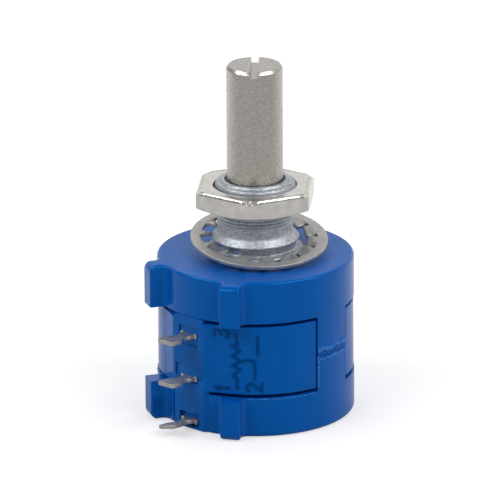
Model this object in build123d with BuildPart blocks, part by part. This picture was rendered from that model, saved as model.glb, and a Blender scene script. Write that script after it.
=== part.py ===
"""Ten-turn wirewound potentiometer with a 3/8-32 panel bushing and a quarter-inch shaft.

Frame: millimetres. The origin is on the shaft axis, on the seat of the bushing that a panel
rests against. +Z points out of the panel along the shaft, and the solder lugs point to -Y.
"""

import os
from math import cos, pi, radians, sin

from build123d import *

os.makedirs("parts", exist_ok=True)

# Body and covers
body_diameter = 22.22
body_depth = 19.05          # panel seat to the rear face
seat_height = 0.8           # panel seat above the front cover
front_wall = 1.6
rear_wall = 1.2
cover_wall = 1.1
cover_edge_fillet = 0.45    # along the end faces and the ears
cover_fit = 0.06            # radial gap between the covers and the housing inside them
tube_wall = 1.25            # housing's tube

# Windows between the covers, and the tongues that close over the housing's sides
window_front_depth = 4.88   # front cover's face to the upper edge of the windows
window_height = 8.8
tongue_angle = 94.0         # from the lugs to the middle of a tongue
tongue_width_angle = 26.0
seam_share = 0.47           # seam's place, as a share of the window's height
seam_gap = 0.12
window_gap = 0.32
window_side_gap = 0.1
panel_recess = 0.12         # window panels lie this far inside the covers' surface

# Ears
ear_angle = 28.9            # from the lugs to each ear
ear_reach = 1.75            # out of the body's side
ear_width = 2.3
ear_root_fillet = 0.7
ear_end_fillet = 0.9        # ear's outer corner at the cover's end face

# Solder lugs and their block
lug_pitch = 5.08
rear_lug_height = 0.99      # rear face to the middle of the rear lug
lug_thickness = 0.45
lug_overhang = 3.79         # from the body's side to the tip
lug_head_width = 2.4
lug_head_length = 1.5
lug_neck_width = 1.0
lug_neck_length = 0.8
lug_taper_length = 0.75
lug_root_width = 1.7
rear_lug_tail = 1.1         # rear lug's length inside the housing's bore
lug_corner = 0.3
block_width = 4.3
block_proud = 0.05          # block's flat face beyond the body's radius, at its middle
notch_width = 5.4           # slot in the rear cover that the block stands in
notch_fit = 0.1
notch_floor_depth = 0.45    # housing's face in the notch, inside the body's surface
block_foot_gap = 0.15       # block's foot above the rear face
pocket_width = 2.9
pocket_rise = 1.0
pocket_drop = 0.5
front_pocket_drop = 1.2     # the front lug's pocket reaches further below it
pocket_depth = 1.0
sill_width = 4.0            # shallow recess round the middle lug's pocket
sill_rise = 1.5
sill_depth = 0.25

# Bushing
thread_diameter = 9.525
bushing_length = 7.92       # panel seat to the bushing's end
thread_end_chamfer = 0.6
thread_start = 4.45         # panel seat to the lead-in of the thread
relief_diameter = 8.56
cone_length = 0.75          # from the lip up to the relief
lip_diameter = 9.7
lip_length = 0.2
neck_diameter = 9.2
neck_length = 0.95
seat_diameter = 10.8
seat_chamfer = 0.3
insert_diameter = 9.4
bushing_flange_diameter = 12.8
bushing_flange_thickness = 0.8
bore_mouth_chamfer = 0.6

# Panel nut
nut_across_flats = 12.7
nut_thickness = 2.4
nut_height = 4.85           # panel seat to the nut's lower face, as it stands
nut_turn = 7.2              # corner's angle from +X
nut_face_diameter = 13.3    # circle that the corners are bevelled from
nut_bevel_angle = 28.0
nut_edge_chamfer = 0.22
nut_thread_fit = 0.04
nut_countersink = 0.3

# Lockwasher, tilted and loose on the shoulder
washer_diameter = 15.5
washer_thickness = 0.46
washer_ring_width = 1.15
washer_tip_diameter = 10.9
washer_tooth_count = 14
washer_tooth_root_width = 1.95
washer_tooth_tip_width = 1.35
washer_tooth_twist = 27.0
washer_tooth_sink = 0.3     # tooth's overlap with the ring
washer_first_tooth = 10.7
washer_height = 0.8
washer_tilt = 7.9
washer_lean_azimuth = -29.5
washer_shift = 0.45
washer_shift_azimuth = 30.6

# Shaft
shaft_diameter = 6.35
shaft_length = 21.0         # panel seat to the tip
shaft_journal_diameter = 6.0
shaft_step_gap = 0.05       # full diameter starts this far out of the bushing
shaft_fit = 0.05
tip_chamfer = 0.4
slot_width = 0.85
slot_depth = 1.1
slot_azimuth = -50.0
ring_groove_diameter = 5.2
ring_groove_gap = 0.05      # each side of the retaining ring
ring_land = 0.5             # shaft left behind the groove
drive_diameter = 4.0
journal_diameter = 2.5
journal_end_gap = 0.25

# Thrust washer and retaining ring
thrust_washer_thickness = 0.2
thrust_washer_diameter = 9.2
thrust_washer_bore_gap = 0.12
thrust_gap = 0.04
retaining_ring_diameter = 8.6
retaining_ring_thickness = 0.4
retaining_ring_mouth = 3.2
retaining_ring_bore_gap = 0.02

# Resistance element: a wound mandrel coiled in the housing's bore
turns = 10
mandrel_diameter = 0.68
element_fit = 0.02
clip_width = 1.3
clip_thickness = 0.22
clip_corner = 0.3
clip_gap = 0.04

# Rotor and carriage
rotor_clearance = 2.3       # rotor's side to the wiper's tip
rotor_front_gap = 0.19      # from the shaft's shoulder
rotor_rear_room = 2.13      # to the rear face
rotor_end_wall = 0.35
channel_width = 3.0
channel_depth = 2.3
carriage_height = 1.2
carriage_fit = 0.05
carriage_nose_width = 1.6
carriage_end_gap = 0.1
rod_diameter = 0.8
rod_inset = 1.1             # rotor's side to the rod's middle
rod_fit = 0.08
brush_thickness = 0.12
brush_length = 1.7
brush_corner = 0.28
wiper_thickness = 0.12
wiper_width = 1.0
wiper_slit_depth = 0.9
wiper_fork_gap = 0.4
wiper_tip_gap = 0.1
wiper_free_length = 1.0     # from the carriage's nose to the tip

# Slip ring, its brush and the rear bearing
slip_ring_width = 1.6
slip_ring_edge = 0.3        # beyond the rod's middle
slip_ring_thickness = 0.3
slip_brush_width = 1.2
slip_brush_landing = 0.73   # brush's length on the rear lug's tail
slip_brush_thickness = 0.15
slip_brush_gap = 0.08
bearing_diameter = 4.4
bearing_fit = 0.04
bearing_length = 1.1
bearing_floor = 0.35

# Sizes that follow from those above
body_r = body_diameter / 2
front_z = -seat_height
rear_z = -body_depth
front_inner_z = front_z - front_wall
rear_inner_z = rear_z + rear_wall
cover_bore_r = body_r - cover_wall
housing_r = cover_bore_r - cover_fit
panel_r = body_r - panel_recess
window_top_z = front_z - window_front_depth
window_bottom_z = window_top_z - window_height
seam_z = window_top_z - seam_share * window_height
rear_lug_z = rear_z + rear_lug_height
middle_lug_z = rear_lug_z + lug_pitch
front_lug_z = middle_lug_z + lug_pitch
lug_heights = [front_lug_z, middle_lug_z, rear_lug_z]
lug_reach = body_r + lug_overhang
block_face = body_r + block_proud
shaft_r = shaft_diameter / 2
shaft_journal_r = shaft_journal_diameter / 2
shaft_bore_r = shaft_journal_r + shaft_fit
thread_r = thread_diameter / 2
bore_r = housing_r - tube_wall
element_r = bore_r - element_fit - mandrel_diameter / 2
wiper_tip_r = element_r - mandrel_diameter / 2 - wiper_tip_gap
carriage_reach = wiper_tip_r - wiper_free_length
rotor_r = wiper_tip_r - rotor_clearance
channel_floor = rotor_r - channel_depth
rod_radius = rotor_r - rod_inset
slip_ring_outer_r = rod_radius + slip_ring_edge
slip_ring_inner_r = slip_ring_outer_r - slip_ring_width
bushing_inner_z = front_inner_z - bushing_flange_thickness
thrust_washer_z = bushing_inner_z - thrust_washer_thickness
ring_front_z = thrust_washer_z - thrust_gap
groove_front_z = ring_front_z + ring_groove_gap
groove_rear_z = ring_front_z - retaining_ring_thickness - ring_groove_gap
drive_front_z = groove_rear_z - ring_land
rotor_front_z = drive_front_z - rotor_front_gap
rotor_rear_z = rear_z + rotor_rear_room
element_z = (rotor_front_z + rotor_rear_z) / 2
channel_half = (rotor_front_z - rotor_rear_z) / 2 - rotor_end_wall
element_height = 2 * (channel_half - carriage_end_gap - brush_thickness) - carriage_height
slip_ring_rear_z = rotor_rear_z - slip_ring_thickness
bearing_seat_z = rear_z + bearing_floor
clip_spans = [
    (element_z + (element_height + mandrel_diameter) / 2, front_lug_z - lug_thickness / 2),
    (middle_lug_z + lug_thickness / 2, element_z - (element_height + mandrel_diameter) / 2),
]

EAR_SIDES = (-1, 1)
LUG_AZIMUTH = -90.0
NEAR = 0.01


def polar_point(radius, azimuth, height):
    """Point at a radius and an azimuth in degrees, at a height."""
    return (radius * cos(radians(azimuth)), radius * sin(radians(azimuth)), height)


def from_axis(edge):
    """Distance of an edge's middle from the shaft axis."""
    return Vector(edge.center().X, edge.center().Y, 0).length


def cover_blank(end_z, length, inward):
    """Cylinder with two ears, rounded at its end face; inward, +1 or -1 along Z, is its open side."""
    with BuildPart() as blank:
        with BuildSketch(Plane.XY.offset(end_z)):
            Circle(body_r)
        extrude(amount=length, dir=(0, 0, inward))
        for side in EAR_SIDES:
            azimuth = LUG_AZIMUTH + side * ear_angle
            ear_plane = Plane(
                origin=(0, 0, end_z),
                x_dir=polar_point(1, azimuth, 0),
                z_dir=polar_point(1, azimuth - inward * 90, 0),
            )
            with BuildSketch(ear_plane) as profile:
                Rectangle(body_r + ear_reach, length, align=(Align.MIN, Align.MIN))
                end_corner = profile.vertices().sort_by(lambda v: v.X - v.Y)[-1]
                fillet(end_corner, ear_end_fillet)
            extrude(amount=ear_width / 2, both=True)
        roots = blank.edges().filter_by(Axis.Z).filter_by(lambda e: abs(from_axis(e) - body_r) < NEAR)
        fillet(roots, ear_root_fillet)
        open_z = end_z + inward * length
        end_edges = blank.edges().filter_by(lambda e: abs(e.center().Z - end_z) < NEAR)
        ear_edges = blank.edges().filter_by(
            lambda e: from_axis(e) > body_r + ear_root_fillet and abs(e.center().Z - open_z) > NEAR
        )
        crossing = blank.edges().filter_by(lambda e: abs(e.length - ear_width) < NEAR)
        fillet(ShapeList(set(end_edges + ear_edges) - set(crossing)), cover_edge_fillet)
    return blank.part


def tongue_sketch(height):
    """Plan of the two tongues, as sectors of the cover's wall."""
    with BuildSketch(Plane.XY.offset(height)) as tongues:
        for side in EAR_SIDES:
            middle = LUG_AZIMUTH + side * tongue_angle
            with BuildLine():
                edge = CenterArc((0, 0), body_r, middle - tongue_width_angle / 2, tongue_width_angle)
                Polyline(edge @ 1, (0, 0), edge @ 0)
            make_face()
        Circle(cover_bore_r, mode=Mode.SUBTRACT)
    return tongues.sketch


# Front cover: end wall, skirt, ears and the tongues down to the seam
with BuildPart() as front_cover:
    add(cover_blank(front_z, window_front_depth, -1))
    extrude(tongue_sketch(window_top_z), amount=window_top_z - seam_z - seam_gap / 2, dir=(0, 0, -1))
    with BuildSketch(Plane.XY.offset(front_inner_z)):
        Circle(cover_bore_r)
    extrude(amount=-body_depth, mode=Mode.SUBTRACT)
    with BuildSketch(Plane.XY.offset(front_z)):
        Circle(insert_diameter / 2)
    extrude(amount=-front_wall, mode=Mode.SUBTRACT)
front_cover.part.label = "front_cover"
export_step(front_cover.part, "parts/front_cover.step")

# Rear cover: end wall, skirt, ears, tongues and the notch for the lug block
with BuildPart() as rear_cover:
    add(cover_blank(rear_z, window_bottom_z - rear_z, 1))
    extrude(tongue_sketch(window_bottom_z), amount=seam_z - seam_gap / 2 - window_bottom_z, dir=(0, 0, 1))
    with BuildSketch(Plane.XY.offset(rear_inner_z)):
        Circle(cover_bore_r)
    extrude(amount=body_depth, mode=Mode.SUBTRACT)
    with BuildSketch(Plane.XY.offset(bearing_seat_z)):
        Circle(bearing_diameter / 2)
    extrude(amount=rear_wall, mode=Mode.SUBTRACT)
    with BuildSketch(Plane.XY.offset(rear_z)):
        with Locations((0, -bore_r)):
            Rectangle(notch_width, 2 * body_r - bore_r, align=(Align.CENTER, Align.MAX))
    extrude(amount=body_depth, mode=Mode.SUBTRACT)
    with BuildSketch(Plane.XY.offset(rear_lug_z - lug_thickness / 2)):
        with Locations((0, -bore_r)):
            Rectangle(lug_root_width, rear_lug_tail, align=(Align.CENTER, Align.MIN))
    extrude(amount=rear_wall, mode=Mode.SUBTRACT)
rear_cover.part.label = "rear_cover"
export_step(rear_cover.part, "parts/rear_cover.step")


def lug_outline(height, tail_y):
    """Plan of a solder lug: rooted strip, narrow neck and a wide head to wrap a wire behind."""
    head_y = -lug_reach + lug_head_length
    neck_y = head_y + lug_taper_length
    root_y = neck_y + lug_neck_length
    with BuildSketch(Plane.XY.offset(height)) as outline:
        with BuildLine():
            Polyline(
                (0, tail_y),
                (lug_root_width / 2, tail_y),
                (lug_root_width / 2, root_y + lug_taper_length / 2),
                (lug_neck_width / 2, root_y),
                (lug_neck_width / 2, neck_y),
                (lug_head_width / 2, head_y),
                (lug_head_width / 2, -lug_reach),
                (0, -lug_reach),
            )
            mirror(about=Plane.YZ)
        make_face()
        tip_corners = outline.vertices().group_by(Axis.Y)[0]
        chamfer(tip_corners, lug_corner)
    return outline.sketch


# Element housing: bored tube, two window panels and the lug block with its pockets
with BuildPart() as element_housing:
    with BuildSketch(Plane.XY.offset(rear_inner_z)):
        Circle(housing_r)
    extrude(amount=front_inner_z - rear_inner_z)
    with BuildSketch(Plane.XY.offset(window_bottom_z + window_gap)) as panels:
        Circle(panel_r)
        for side in EAR_SIDES:
            middle = LUG_AZIMUTH + side * tongue_angle
            spread = tongue_width_angle + 2 * window_side_gap / panel_r * 180 / pi
            with BuildLine():
                edge = CenterArc((0, 0), 2 * body_r, middle - spread / 2, spread)
                Polyline(edge @ 1, (0, 0), edge @ 0)
            make_face(mode=Mode.SUBTRACT)
    extrude(amount=window_height - 2 * window_gap)
    with BuildSketch(Plane.XY.offset(rear_z + block_foot_gap)):
        with Locations((0, -bore_r - notch_fit)):
            Rectangle(
                notch_width - 2 * notch_fit,
                body_r - notch_floor_depth - bore_r - notch_fit,
                align=(Align.CENTER, Align.MAX),
            )
            Rectangle(block_width, block_face - bore_r - notch_fit, align=(Align.CENTER, Align.MAX))
    extrude(amount=window_top_z - window_gap - rear_z - block_foot_gap)
    with BuildSketch(Plane.XY.offset(rear_inner_z)):
        Circle(bore_r)
    extrude(amount=front_inner_z - rear_inner_z, mode=Mode.SUBTRACT)
    for height in lug_heights:
        drop = front_pocket_drop if height == front_lug_z else pocket_drop
        with BuildSketch(Plane.XZ.offset(block_face)):
            with Locations((0, height - drop)):
                Rectangle(pocket_width, drop + pocket_rise, align=(Align.CENTER, Align.MIN))
        extrude(amount=-pocket_depth, mode=Mode.SUBTRACT)
        with BuildSketch(Plane.XZ.offset(block_face)):
            with Locations((0, height)):
                Rectangle(lug_root_width, lug_thickness)
        extrude(amount=-(block_face - bore_r), mode=Mode.SUBTRACT)
    with BuildSketch(Plane.XZ.offset(block_face)):
        with Locations((0, middle_lug_z)):
            Rectangle(sill_width, sill_rise, align=(Align.CENTER, Align.MIN))
    extrude(amount=-sill_depth, mode=Mode.SUBTRACT)
    for clip_top, clip_bottom in clip_spans:
        with BuildSketch(Plane.XZ.offset(bore_r + clip_thickness)):
            with Locations((0, clip_bottom - clip_gap)):
                Rectangle(
                    clip_width + 2 * clip_gap,
                    clip_top - clip_bottom + 2 * clip_gap,
                    align=(Align.CENTER, Align.MIN),
                )
        extrude(amount=-2 * clip_thickness, mode=Mode.SUBTRACT)
element_housing.part.label = "element_housing"
export_step(element_housing.part, "parts/element_housing.step")

# Solder lugs, numbered as on the drawing: 3 in front, 1 in the middle, 2 (the wiper) at the rear
LUG_NUMBERS = (3, 1, 2)
for number, height in zip(LUG_NUMBERS, lug_heights):
    tail_y = -bore_r + rear_lug_tail if height == rear_lug_z else -bore_r - clip_thickness
    with BuildPart() as terminal:
        extrude(lug_outline(height - lug_thickness / 2, tail_y), amount=lug_thickness, dir=(0, 0, 1))
    terminal.part.label = f"terminal_{number}"
    export_step(terminal.part, f"parts/terminal_{number}.step")

# Clips that join the ends of the element to the two fixed lugs
for number, (clip_top, clip_bottom) in zip(LUG_NUMBERS, clip_spans):
    with BuildPart() as end_clip:
        with BuildSketch(Plane.XZ.offset(bore_r)) as strip:
            with Locations((0, clip_bottom)):
                Rectangle(clip_width, clip_top - clip_bottom, align=(Align.CENTER, Align.MIN))
            fillet(strip.vertices(), clip_corner)
        extrude(amount=clip_thickness)
    end_clip.part.label = f"end_clip_{number}"
    export_step(end_clip.part, f"parts/end_clip_{number}.step")

# Resistance element: the wound mandrel as one helix of ten turns in the bore
with BuildPart() as resistance_element:
    helix_plane = Plane(
        origin=(0, 0, element_z - element_height / 2),
        x_dir=polar_point(1, LUG_AZIMUTH, 0),
        z_dir=(0, 0, 1),
    )
    with BuildLine(helix_plane) as coil:
        Helix(pitch=element_height / turns, height=element_height, radius=element_r)
    with BuildSketch(Plane(origin=coil.line @ 0, z_dir=coil.line % 0)):
        Circle(mandrel_diameter / 2)
    sweep(path=coil.line, is_frenet=True)
resistance_element.part.label = "resistance_element"
export_step(resistance_element.part, "parts/resistance_element.step")

# Bushing: turned flange, panel seat, neck, lip, cone down from the relief, and threaded end
with BuildPart() as bushing:
    with BuildSketch(Plane.XZ):
        with BuildLine():
            relief_r = relief_diameter / 2
            lip_top_z = neck_length + lip_length
            Polyline(
                (shaft_bore_r, bushing_inner_z),
                (bushing_flange_diameter / 2, bushing_inner_z),
                (bushing_flange_diameter / 2, front_inner_z),
                (insert_diameter / 2, front_inner_z),
                (insert_diameter / 2, front_z),
                (seat_diameter / 2, front_z),
                (seat_diameter / 2, -seat_chamfer),
                (seat_diameter / 2 - seat_chamfer, 0),
                (neck_diameter / 2, 0),
                (neck_diameter / 2, neck_length),
                (lip_diameter / 2, neck_length),
                (lip_diameter / 2, lip_top_z),
                (relief_r, lip_top_z + cone_length),
                (relief_r, thread_start),
                (thread_r, thread_start + thread_r - relief_r),
                (thread_r, bushing_length - thread_end_chamfer),
                (thread_r - thread_end_chamfer, bushing_length),
                (shaft_bore_r + bore_mouth_chamfer, bushing_length),
                (shaft_bore_r, bushing_length - bore_mouth_chamfer),
                close=True,
            )
        make_face()
    revolve(axis=Axis.Z)
bushing.part.label = "bushing"
export_step(bushing.part, "parts/bushing.step")

# Panel nut: hexagon bevelled on both faces
with BuildPart() as panel_nut:
    nut_top = nut_height + nut_thickness
    nut_bore_r = thread_r + nut_thread_fit
    bevel_r = nut_face_diameter / 2
    corner_r = nut_across_flats / 2 / cos(radians(30))
    bevel_drop = (corner_r - bevel_r) * sin(radians(nut_bevel_angle)) / cos(radians(nut_bevel_angle))
    with BuildSketch(Plane.XY.offset(nut_height)):
        RegularPolygon(nut_across_flats / 2, 6, major_radius=False, rotation=nut_turn)
        Circle(nut_bore_r, mode=Mode.SUBTRACT)
    extrude(amount=nut_thickness)
    rims = panel_nut.edges().filter_by(GeomType.CIRCLE)
    chamfer(rims, nut_countersink)
    end_faces = panel_nut.faces().sort_by(Axis.Z)
    chamfer(end_faces[0].outer_wire().edges() + end_faces[-1].outer_wire().edges(), nut_edge_chamfer)
    with BuildSketch(Plane.XZ):
        with BuildLine():
            Polyline(
                (0, nut_height),
                (bevel_r, nut_height),
                (corner_r, nut_height + bevel_drop),
                (corner_r, nut_top - bevel_drop),
                (bevel_r, nut_top),
                (0, nut_top),
                close=True,
            )
        make_face()
    revolve(axis=Axis.Z, mode=Mode.INTERSECT)
panel_nut.part.label = "panel_nut"
export_step(panel_nut.part, "parts/panel_nut.step")

# Lockwasher: flat ring with twisted teeth pointing inwards, lying tilted round the shoulder
with BuildPart() as lockwasher:
    lean = radians(washer_lean_azimuth)
    tilt = radians(washer_tilt)
    washer_plane = Plane(
        origin=polar_point(washer_shift, washer_shift_azimuth, washer_height),
        x_dir=(cos(tilt) * cos(lean), cos(tilt) * sin(lean), -sin(tilt)),
        z_dir=(sin(tilt) * cos(lean), sin(tilt) * sin(lean), cos(tilt)),
    )
    ring_inner_r = washer_diameter / 2 - washer_ring_width
    tooth_tip_r = washer_tip_diameter / 2
    with BuildSketch(washer_plane.offset(-washer_thickness / 2)):
        Circle(washer_diameter / 2)
        Circle(ring_inner_r, mode=Mode.SUBTRACT)
    extrude(amount=washer_thickness)
    for tooth in range(washer_tooth_count):
        azimuth = radians(washer_first_tooth + tooth * 360 / washer_tooth_count)
        twist = radians(washer_tooth_twist)
        radial = washer_plane.x_dir * cos(azimuth) + washer_plane.y_dir * sin(azimuth)
        across = washer_plane.z_dir.cross(radial)
        tooth_plane = Plane(
            origin=washer_plane.origin,
            x_dir=radial,
            z_dir=washer_plane.z_dir * cos(twist) + across * sin(twist),
        )
        with BuildSketch(tooth_plane):
            with BuildLine():
                Polyline(
                    (ring_inner_r + washer_tooth_sink, washer_tooth_root_width / 2),
                    (tooth_tip_r, washer_tooth_tip_width / 2),
                    (tooth_tip_r, -washer_tooth_tip_width / 2),
                    (ring_inner_r + washer_tooth_sink, -washer_tooth_root_width / 2),
                    close=True,
                )
            make_face()
        extrude(amount=washer_thickness / 2, both=True)
lockwasher.part.label = "lockwasher"
export_step(lockwasher.part, "parts/lockwasher.step")

# Shaft: slotted tip, ring groove, drive section for the rotor and rear journal
with BuildPart() as shaft:
    with BuildSketch(Plane.XZ):
        with BuildLine():
            journal_end_z = bearing_seat_z + journal_end_gap
            Polyline(
                (0, shaft_length),
                (shaft_r - tip_chamfer, shaft_length),
                (shaft_r, shaft_length - tip_chamfer),
                (shaft_r, bushing_length + shaft_step_gap),
                (shaft_journal_r, bushing_length + shaft_step_gap),
                (shaft_journal_r, groove_front_z),
                (ring_groove_diameter / 2, groove_front_z),
                (ring_groove_diameter / 2, groove_rear_z),
                (shaft_journal_r, groove_rear_z),
                (shaft_journal_r, drive_front_z),
                (drive_diameter / 2, drive_front_z),
                (drive_diameter / 2, rotor_rear_z),
                (journal_diameter / 2, rotor_rear_z),
                (journal_diameter / 2, journal_end_z),
                (0, journal_end_z),
                close=True,
            )
        make_face()
    revolve(axis=Axis.Z)
    slot_plane = Plane(origin=(0, 0, shaft_length), x_dir=polar_point(1, slot_azimuth, 0), z_dir=(0, 0, 1))
    with BuildSketch(slot_plane):
        Rectangle(2 * shaft_diameter, slot_width)
    extrude(amount=-slot_depth, mode=Mode.SUBTRACT)
shaft.part.label = "shaft"
export_step(shaft.part, "parts/shaft.step")

# Thrust washer between the bushing's flange and the retaining ring
with BuildPart() as thrust_washer:
    with BuildSketch(Plane.XY.offset(thrust_washer_z)):
        Circle(thrust_washer_diameter / 2)
        Circle(shaft_journal_r + thrust_washer_bore_gap, mode=Mode.SUBTRACT)
    extrude(amount=thrust_washer_thickness)
thrust_washer.part.label = "thrust_washer"
export_step(thrust_washer.part, "parts/thrust_washer.step")

# Retaining ring: open ring in the shaft's groove
with BuildPart() as retaining_ring:
    with BuildSketch(Plane.XY.offset(ring_front_z)):
        Circle(retaining_ring_diameter / 2)
        Circle(ring_groove_diameter / 2 + retaining_ring_bore_gap, mode=Mode.SUBTRACT)
        with Locations((retaining_ring_diameter / 2, 0)):
            Rectangle(retaining_ring_diameter, retaining_ring_mouth, mode=Mode.SUBTRACT)
    extrude(amount=-retaining_ring_thickness)
retaining_ring.part.label = "retaining_ring"
export_step(retaining_ring.part, "parts/retaining_ring.step")

# Rotor: drum pressed on the shaft, with the channel that guides the carriage
with BuildPart() as rotor:
    with BuildSketch(Plane.XY.offset(rotor_rear_z)):
        Circle(rotor_r)
        Circle(drive_diameter / 2, mode=Mode.SUBTRACT)
        with Locations((0, -rod_radius)):
            Circle(rod_diameter / 2, mode=Mode.SUBTRACT)
    extrude(amount=rotor_front_z - rotor_rear_z)
    with BuildSketch(Plane.XY.offset(element_z - channel_half)):
        with Locations((0, -channel_floor)):
            Rectangle(channel_width, rotor_r, align=(Align.CENTER, Align.MAX))
    extrude(amount=2 * channel_half, mode=Mode.SUBTRACT)
rotor.part.label = "rotor"
export_step(rotor.part, "parts/rotor.step")

# Collector rod along the rotor's channel
with BuildPart() as collector_rod:
    with BuildSketch(Plane.XY.offset(rotor_rear_z)):
        with Locations((0, -rod_radius)):
            Circle(rod_diameter / 2)
    extrude(amount=rotor_front_z - rotor_rear_z)
collector_rod.part.label = "collector_rod"
export_step(collector_rod.part, "parts/collector_rod.step")

# Slip ring on the rotor's rear face
with BuildPart() as slip_ring:
    with BuildSketch(Plane.XY.offset(slip_ring_rear_z)):
        Circle(slip_ring_outer_r)
        Circle(slip_ring_inner_r, mode=Mode.SUBTRACT)
    extrude(amount=slip_ring_thickness)
slip_ring.part.label = "slip_ring"
export_step(slip_ring.part, "parts/slip_ring.step")

# Wiper carriage: block that slides in the channel on the rod, with a slit nose for the contact
with BuildPart() as wiper_carriage:
    carriage_width = channel_width - 2 * carriage_fit
    wiper_tail_r = carriage_reach - wiper_slit_depth
    with BuildSketch(Plane.XY.offset(element_z - carriage_height / 2)):
        with BuildLine():
            Polyline(
                (0, -channel_floor - carriage_fit),
                (carriage_width / 2, -channel_floor - carriage_fit),
                (carriage_width / 2, -rotor_r),
                (carriage_nose_width / 2, -carriage_reach),
                (0, -carriage_reach),
            )
            mirror(about=Plane.YZ)
        make_face()
        with Locations((0, -rod_radius)):
            Circle(rod_diameter / 2 + rod_fit, mode=Mode.SUBTRACT)
    extrude(amount=carriage_height)
    with BuildSketch(Plane.XY.offset(element_z - wiper_thickness / 2)):
        with Locations((0, -wiper_tail_r)):
            Rectangle(wiper_width, carriage_reach, align=(Align.CENTER, Align.MAX))
    extrude(amount=wiper_thickness, mode=Mode.SUBTRACT)
wiper_carriage.part.label = "wiper_carriage"
export_step(wiper_carriage.part, "parts/wiper_carriage.step")

# Wiper contact: forked leaf from the carriage's slit to the element
with BuildPart() as wiper_contact:
    with BuildSketch(Plane.XY.offset(element_z - wiper_thickness / 2)):
        with Locations((0, -wiper_tail_r)):
            Rectangle(wiper_width, wiper_tip_r - wiper_tail_r, align=(Align.CENTER, Align.MAX))
        with Locations((0, -wiper_tip_r)):
            Rectangle(wiper_fork_gap, wiper_free_length, mode=Mode.SUBTRACT)
    extrude(amount=wiper_thickness)
wiper_contact.part.label = "wiper_contact"
export_step(wiper_contact.part, "parts/wiper_contact.step")

# Collector brush: leaf on the carriage that runs on the rod
with BuildPart() as collector_brush:
    with BuildSketch(Plane.XY.offset(element_z + carriage_height / 2)) as leaf:
        with Locations((0, -rod_radius)):
            Rectangle(brush_length, brush_length)
            fillet(leaf.vertices(), brush_corner)
            Circle(rod_diameter / 2 + rod_fit, mode=Mode.SUBTRACT)
    extrude(amount=brush_thickness)
collector_brush.part.label = "collector_brush"
export_step(collector_brush.part, "parts/collector_brush.step")

# Slip brush: bent strip from the rear lug's tail up to the slip ring
with BuildPart() as slip_brush:
    strip_z = rear_lug_z + lug_thickness / 2 + slip_brush_thickness / 2
    crest_z = slip_ring_rear_z - slip_brush_gap - slip_brush_thickness
    ring_middle_r = (slip_ring_inner_r + slip_ring_outer_r) / 2
    with BuildSketch(Plane.YZ):
        with BuildLine() as brush_line:
            Polyline(
                (-bore_r + rear_lug_tail - slip_brush_landing, strip_z),
                (-bore_r + rear_lug_tail, strip_z),
                (-ring_middle_r, crest_z),
                (-slip_ring_inner_r, (strip_z + crest_z) / 2),
            )
        trace(line_width=slip_brush_thickness)
    extrude(amount=slip_brush_width / 2, both=True)
slip_brush.part.label = "slip_brush"
export_step(slip_brush.part, "parts/slip_brush.step")

# Bearing bush in the rear cover for the shaft's journal
with BuildPart() as rear_bearing:
    with BuildSketch(Plane.XY.offset(bearing_seat_z)):
        Circle(bearing_diameter / 2)
        Circle(journal_diameter / 2 + bearing_fit, mode=Mode.SUBTRACT)
    extrude(amount=bearing_length)
rear_bearing.part.label = "rear_bearing"
export_step(rear_bearing.part, "parts/rear_bearing.step")
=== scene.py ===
"""Looks of the ten-turn potentiometer.

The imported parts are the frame. Each part that shows gets a finely modelled piece that stands for it,
and the parts inside keep their shape and get a finish. Sizes are millimetres until a mesh is made.
"""
from math import atan2, ceil, cos, degrees, hypot, pi, radians, sin, sqrt, tan

import bmesh
import bpy
from mathutils import Matrix, Vector, noise


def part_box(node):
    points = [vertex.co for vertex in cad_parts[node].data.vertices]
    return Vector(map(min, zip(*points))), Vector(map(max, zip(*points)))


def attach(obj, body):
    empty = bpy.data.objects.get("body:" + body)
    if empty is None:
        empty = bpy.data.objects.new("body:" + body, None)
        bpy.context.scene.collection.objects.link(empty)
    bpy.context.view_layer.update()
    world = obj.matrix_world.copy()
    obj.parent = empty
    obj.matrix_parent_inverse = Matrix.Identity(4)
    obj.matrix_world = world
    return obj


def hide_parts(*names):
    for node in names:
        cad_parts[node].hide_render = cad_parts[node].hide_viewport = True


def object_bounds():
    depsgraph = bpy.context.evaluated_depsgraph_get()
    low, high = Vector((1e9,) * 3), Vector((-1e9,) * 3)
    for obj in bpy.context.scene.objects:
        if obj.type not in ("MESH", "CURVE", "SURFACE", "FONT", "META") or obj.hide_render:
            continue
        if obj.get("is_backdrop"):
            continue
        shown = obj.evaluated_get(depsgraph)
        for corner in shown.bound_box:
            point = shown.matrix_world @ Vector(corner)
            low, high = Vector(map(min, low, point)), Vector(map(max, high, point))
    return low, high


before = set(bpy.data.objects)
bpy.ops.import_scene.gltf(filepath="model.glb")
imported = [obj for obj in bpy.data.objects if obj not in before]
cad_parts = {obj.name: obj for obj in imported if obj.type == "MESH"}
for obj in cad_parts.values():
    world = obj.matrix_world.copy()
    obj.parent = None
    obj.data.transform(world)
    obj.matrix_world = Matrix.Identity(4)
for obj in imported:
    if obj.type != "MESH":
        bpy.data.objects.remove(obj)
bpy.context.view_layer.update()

MM = 0.001
WELD = 0.0002  # points closer than this become one
ROUND_FROM = 32.0  # edges that turn by more than this are rounded, in degrees
SKIM = 0.004  # lift that keeps a surface out of the one it lies on
OVERLAP = 0.02  # depth that a piece goes into the one that carries it


def span(node):
    """Lowest and highest corners of a CAD node, in millimetres."""
    low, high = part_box(node)
    return low / MM, high / MM


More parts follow.
